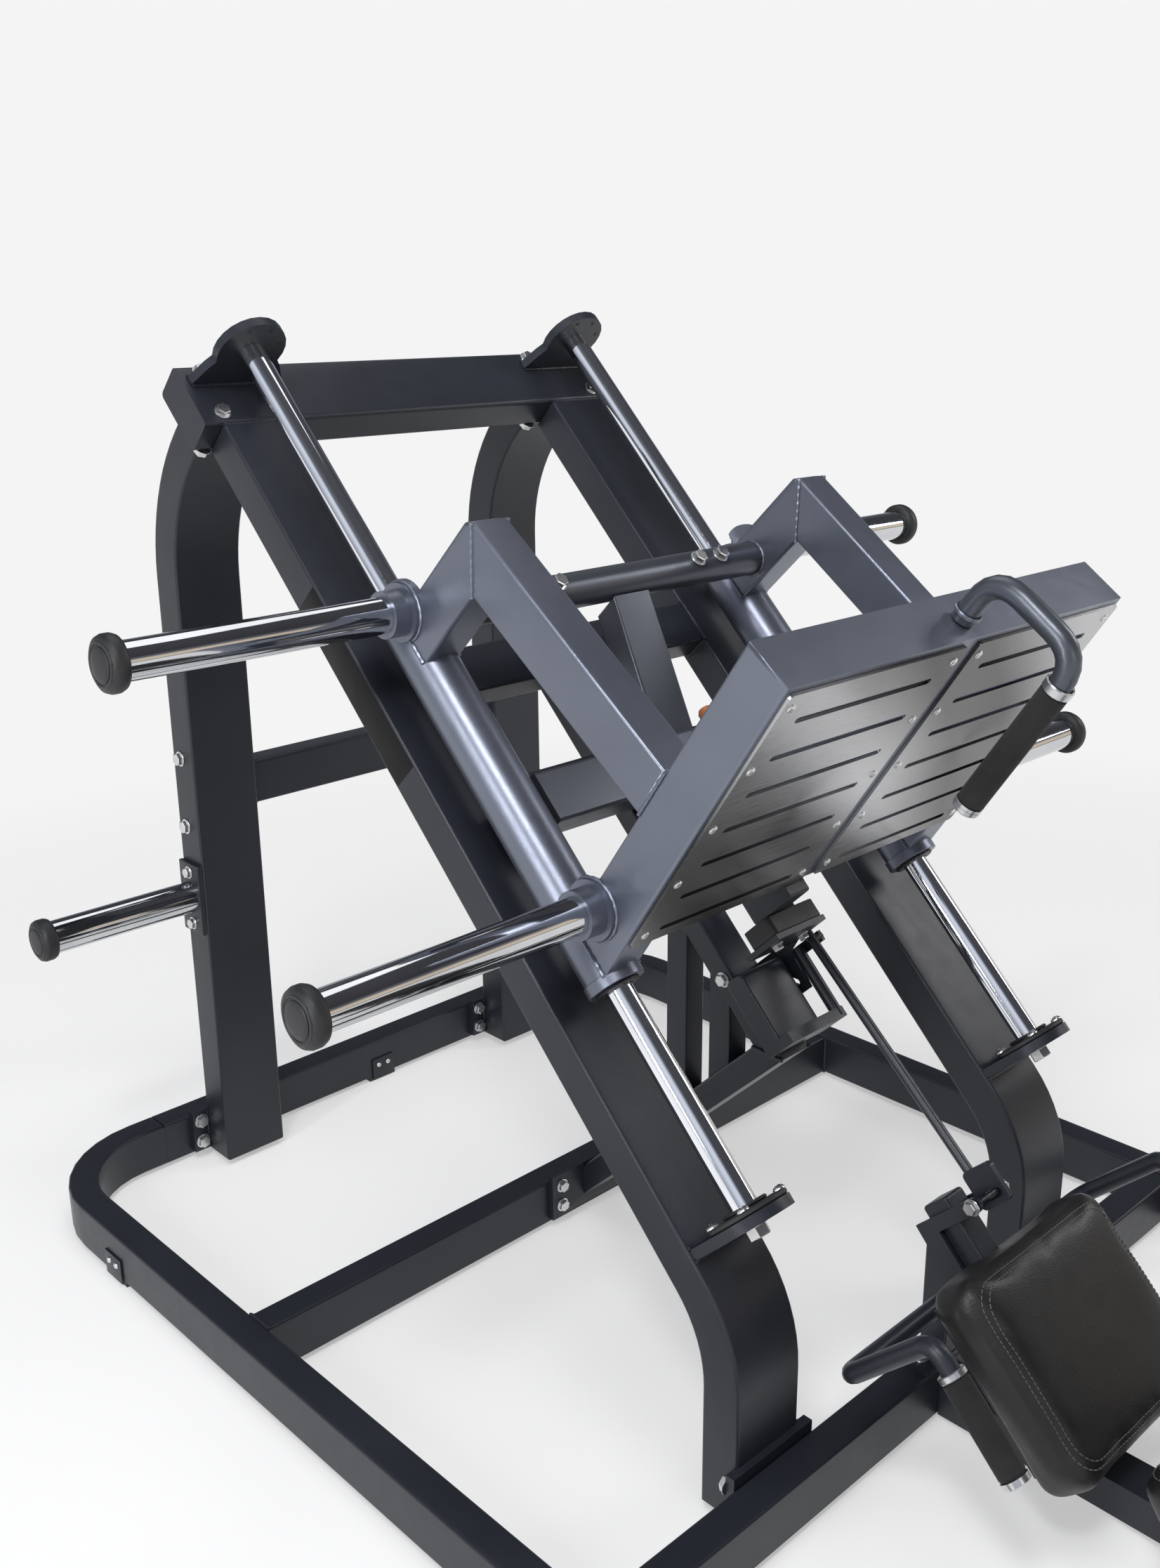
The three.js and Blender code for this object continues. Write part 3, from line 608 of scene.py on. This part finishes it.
def cushion(node, name, body, cap, origin, ax, ay, az, half, length, thick):
    """Swelled copy of the pad's solid, with two rows of stitches round its top edge.

    cap is how far the cloth may move a point. The pad's frame is its origin, at the middle of the lower
    edge of its top face, and the directions across, along and out of that face.
    """
    src = frame["nodes"][node]
    obj = src.copy()
    obj.data = src.data.copy()
    obj.name = name
    obj.modifiers.clear()
    obj.parent = None
    obj.matrix_world = Matrix.Identity(4)
    bpy.context.collection.objects.link(obj)
    bpy.ops.object.select_all(action="DESELECT")
    obj.select_set(True)
    bpy.context.view_layer.objects.active = obj
    rm = obj.modifiers.new("remesh", "REMESH")
    rm.mode, rm.voxel_size = "VOXEL", CUSHION_VOXEL
    bpy.ops.object.modifier_apply(modifier="remesh")
    mid = origin + ay * length / 2 - az * thick / 2
    for v in obj.data.vertices:
        d = v.co - mid
        v.co = mid + ax * d.dot(ax) * SHRINK_X + ay * d.dot(ay) * SHRINK_Y + az * (d.dot(az) * SHRINK_Z - 0.001)
    start = [v.co.copy() for v in obj.data.vertices]
    cl = obj.modifiers.new("cloth", "CLOTH")
    cl.settings.use_pressure = True
    cl.settings.uniform_pressure_force = PRESSURE
    cl.settings.quality = 5
    cl.settings.effector_weights.gravity = 0
    cl.point_cache.frame_start, cl.point_cache.frame_end = 1, CLOTH_FRAMES
    for f in range(1, CLOTH_FRAMES + 1):
        bpy.context.scene.frame_set(f)
    dg = bpy.context.evaluated_depsgraph_get()
    puffed = [v.co.copy() for v in obj.evaluated_get(dg).data.vertices]
    obj.modifiers.remove(cl)
    bpy.context.scene.frame_set(1)
    for v, a, b in zip(obj.data.vertices, start, puffed):
        move = b - a
        v.co = a + move * min(1.0, cap / max(move.length, 1e-6))
    soften = obj.modifiers.new("soften", "SMOOTH")
    soften.factor, soften.iterations = 0.5, SOFTEN_STEPS
    bpy.ops.object.modifier_apply(modifier="soften")
    # crown the top and keep the underside flat
    for v in obj.data.vertices:
        d = v.co - origin
        u, w, h = d.dot(ax) / half, d.dot(ay) / length, d.dot(az)
        edge = max(0.0, (1 - min(abs(u), 1) ** 4) * (1 - abs(2 * w - 1) ** 4))
        if h > -thick * 0.45:
            v.co += az * CROWN * (edge - 0.5)
        low = -thick + 0.001
        if h < low:
            v.co += az * (low - h)
    sub = obj.modifiers.new("sub", "SUBSURF")
    sub.levels = sub.render_levels = 1
    bpy.ops.object.modifier_apply(modifier="sub")
    for p in obj.data.polygons:
        p.use_smooth = True
    obj.data.materials.clear()
    obj.data.materials.append(VINYL)
    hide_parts(node)
    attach(obj, body)
    # stitches, laid on the finished surface
    stitches = Group(name + "_stitches", body, THREAD, "vinyl")
    bpy.context.view_layer.update()
    inv = obj.matrix_world.inverted()
    for inset in STITCH_INSETS:
        hw, r = half - inset, STITCH_CORNER
        path = []
        for quarter, (cx, cy) in enumerate(((1, 1), (-1, 1), (-1, 0), (1, 0))):
            c = ax * cx * (hw - r) + ay * (length - inset - r if cy else inset + r)
            for k in range(7):
                a = math.radians(90 * quarter + 15 * k)
                path.append(origin + c + ax * r * math.cos(a) + ay * r * math.sin(a))
        path.append(path[0])
        for a, b in zip(path, path[1:]):
            count = max(1, round((b - a).length / STITCH_PITCH))
            for i in range(count):
                p0, p1 = a.lerp(b, (i + 0.12) / count), a.lerp(b, (i + 0.80) / count)
                ends = []
                for p in (p0, p1):
                    ok, hit, _, _ = obj.ray_cast(inv @ (p + az * 0.05), inv.to_3x3() @ -az)
                    if ok:
                        ends.append(obj.matrix_world @ hit + az * 0.0002)
                if len(ends) == 2:
                    stitches.tube([ends[0], ends[0].lerp(ends[1], 0.5) + az * 0.0005, ends[1]], THREAD_R, 6)
    stitches.finish()


cushion("seat_pad", "seat_cushion", "frame", 0.007, rail(0, -1335, 87), X, RAIL_S, RAIL_N,
        half=0.168, length=0.280, thick=0.077)
BACK_TILT = math.radians(35)
cushion("back_pad", "back_cushion", "backrest", 0.008, world(0, -1020, 165), X,
        Vector((0, -math.cos(BACK_TILT), math.sin(BACK_TILT))),
        Vector((0, math.sin(BACK_TILT), math.cos(BACK_TILT))),
        half=0.150, length=0.760, thick=0.075)


# ---------------------------------------------------------------- floor, light, camera
BACKDROP = (0.905, 0.905, 0.905, 1)
FLOOR_RADIUS = 60
GLOW_START, GLOW_END = 1.2, 3.4  # metres from the machine's middle, where the floor turns into backdrop
floor_bm = bmesh.new()
bmesh.ops.create_circle(floor_bm, cap_ends=True, radius=FLOOR_RADIUS, segments=96)
floor_mesh = bpy.data.meshes.new("floor")
floor_bm.to_mesh(floor_mesh)
floor_bm.free()
floor = bpy.data.objects.new("floor", floor_mesh)
bpy.context.collection.objects.link(floor)
m, nt, b = new_material("floor", (0.88, 0.88, 0.88), 0.0, 0.9)
coord = nt.nodes.new("ShaderNodeTexCoord")
length = nt.nodes.new("ShaderNodeVectorMath")
length.operation = "LENGTH"
link(nt, coord.outputs["Object"], length.inputs[0])
glow = nt.nodes.new("ShaderNodeEmission")
glow.inputs["Color"].default_value = BACKDROP
mix = nt.nodes.new("ShaderNodeMixShader")
link(nt, span(nt, length.outputs["Value"], 0.45, 1.0, GLOW_START, GLOW_END), mix.inputs[0])
link(nt, b.outputs[0], mix.inputs[1])
link(nt, glow.outputs[0], mix.inputs[2])
link(nt, mix.outputs[0], nt.nodes["Material Output"].inputs["Surface"])
floor_mesh.materials.append(m)

scene = bpy.context.scene
scene.view_settings.view_transform = "Standard"
studio = bpy.data.worlds.new("studio")
scene.world = studio
studio.use_nodes = True
nt = studio.node_tree
bg = nt.nodes["Background"]
bg.inputs["Strength"].default_value = 0.85
# What the machine reflects: grey below, a bright band at the horizon, dark above, a little different towards the
# front and the back, and a cool panel to the left
TOP_GREY, DARK_GREY = (0.09, 0.09, 0.10), (0.06, 0.06, 0.07)
WARM_HIGH, WARM_LOW = (1.05, 0.88, 0.66), (0.85, 0.74, 0.60)
COOL_PANEL = (0.78, 0.82, 0.92)


def band(stops):
    """Studio brightness by height, from straight down at 0 to straight up at 1."""
    ramp = nt.nodes.new("ShaderNodeValToRGB")
    while len(ramp.color_ramp.elements) < len(stops):
        ramp.color_ramp.elements.new(0.5)
    for e, (at, color) in zip(ramp.color_ramp.elements, stops):
        e.position, e.color = at, (*color, 1)
    link(nt, height, ramp.inputs["Fac"])
    return ramp.outputs["Color"]


sky = nt.nodes.new("ShaderNodeTexCoord")
parts = nt.nodes.new("ShaderNodeSeparateXYZ")
link(nt, sky.outputs["Generated"], parts.inputs[0])
height = span(nt, parts.outputs["Z"], 0.0, 1.0, -1.0, 1.0)
front = band(((0.0, (0.30, 0.30, 0.31)), (0.50, (0.30, 0.30, 0.31)), (0.54, WARM_HIGH), (0.60, WARM_LOW),
              (0.64, (0.22, 0.22, 0.24)), (0.72, DARK_GREY), (1.0, TOP_GREY)))
back = band(((0.0, (0.34, 0.35, 0.38)), (0.52, (0.52, 0.55, 0.61)), (0.58, (0.40, 0.43, 0.49)),
             (0.65, (0.14, 0.15, 0.17)), (0.80, DARK_GREY), (1.0, TOP_GREY)))
left = band(((0.0, (0.30, 0.31, 0.34)), (0.52, (0.36, 0.37, 0.41)), (0.62, (0.55, 0.58, 0.65)),
             (0.70, COOL_PANEL), (0.78, COOL_PANEL), (0.86, (0.16, 0.17, 0.19)), (1.0, TOP_GREY)))


def blend(a, b, axis, start, end):
    """From a to b as the direction's share along the axis goes from start to end."""
    mixer = nt.nodes.new("ShaderNodeMix")
    mixer.data_type = "RGBA"
    link(nt, span(nt, parts.outputs[axis], 0.0, 1.0, start, end), mixer.inputs["Factor"])
    link(nt, a, mixer.inputs["A"])
    link(nt, b, mixer.inputs["B"])
    return mixer.outputs["Result"]


link(nt, blend(blend(front, back, "Y", -0.25, 0.25), left, "X", -0.25, -0.6), bg.inputs["Color"])
# The camera itself sees a plain backdrop
seen = nt.nodes.new("ShaderNodeBackground")
seen.inputs["Color"].default_value = BACKDROP
rays = nt.nodes.new("ShaderNodeLightPath")
mix = nt.nodes.new("ShaderNodeMixShader")
link(nt, rays.outputs["Is Camera Ray"], mix.inputs[0])
link(nt, bg.outputs[0], mix.inputs[1])
link(nt, seen.outputs[0], mix.inputs[2])
link(nt, mix.outputs[0], nt.nodes["World Output"].inputs["Surface"])


def area(name, at, target, size, power, size_y=None, glossy=True):
    data = bpy.data.lights.new(name, "AREA")
    data.energy, data.size = power, size
    if size_y:
        data.shape, data.size_y = "RECTANGLE", size_y
    o = bpy.data.objects.new(name, data)
    bpy.context.collection.objects.link(o)
    o.location = at
    o.visible_glossy = glossy
    o.rotation_euler = (Vector(target) - Vector(at)).to_track_quat("-Z", "Y").to_euler()


area("key", (-2.6, -1.2, 4.3), (0, 0, 0.7), 0.7, 75)
area("soft", (-0.6, -0.2, 4.2), (0, 0.2, 0.6), 2.4, 95, glossy=False)
area("top", (0.6, 1.6, 4.4), (0, 0.2, 0.5), 2.6, 30)
area("side_left", (-4.2, 0.0, 2.0), (0, 0, 0.8), 0.5, 66, 2.4)
area("side_right", (3.5, -1.5, 3.0), (0, 0, 0.8), 0.7, 40, 2.0)
area("front", (-1.0, -4.6, 2.2), (0, -0.2, 0.7), 1.2, 12)

# The camera, solved from the photograph's straight edges
cam = bpy.data.cameras.new("camera")
cam.sensor_width, cam.lens = 36.0, 34.99
cam.clip_end = 200
CAMERA_AT = (-1567.3, -1629.2, 1463.7)
camera = bpy.data.objects.new("camera", cam)
bpy.context.collection.objects.link(camera)
yaw, pitch, roll = math.radians(43.504), math.radians(17.532), math.radians(0.619)
forward = Vector((math.sin(yaw) * math.cos(pitch), math.cos(yaw) * math.cos(pitch), -math.sin(pitch)))
right = Vector((math.cos(yaw), -math.sin(yaw), 0))
down = forward.cross(right)
r_axis = right * math.cos(roll) + down * math.sin(roll)
d_axis = -right * math.sin(roll) + down * math.cos(roll)
basis = Matrix((r_axis, -d_axis, -forward)).transposed().to_4x4()
camera.matrix_world = Matrix.Translation(world(*CAMERA_AT)) @ basis
scene.camera = camera
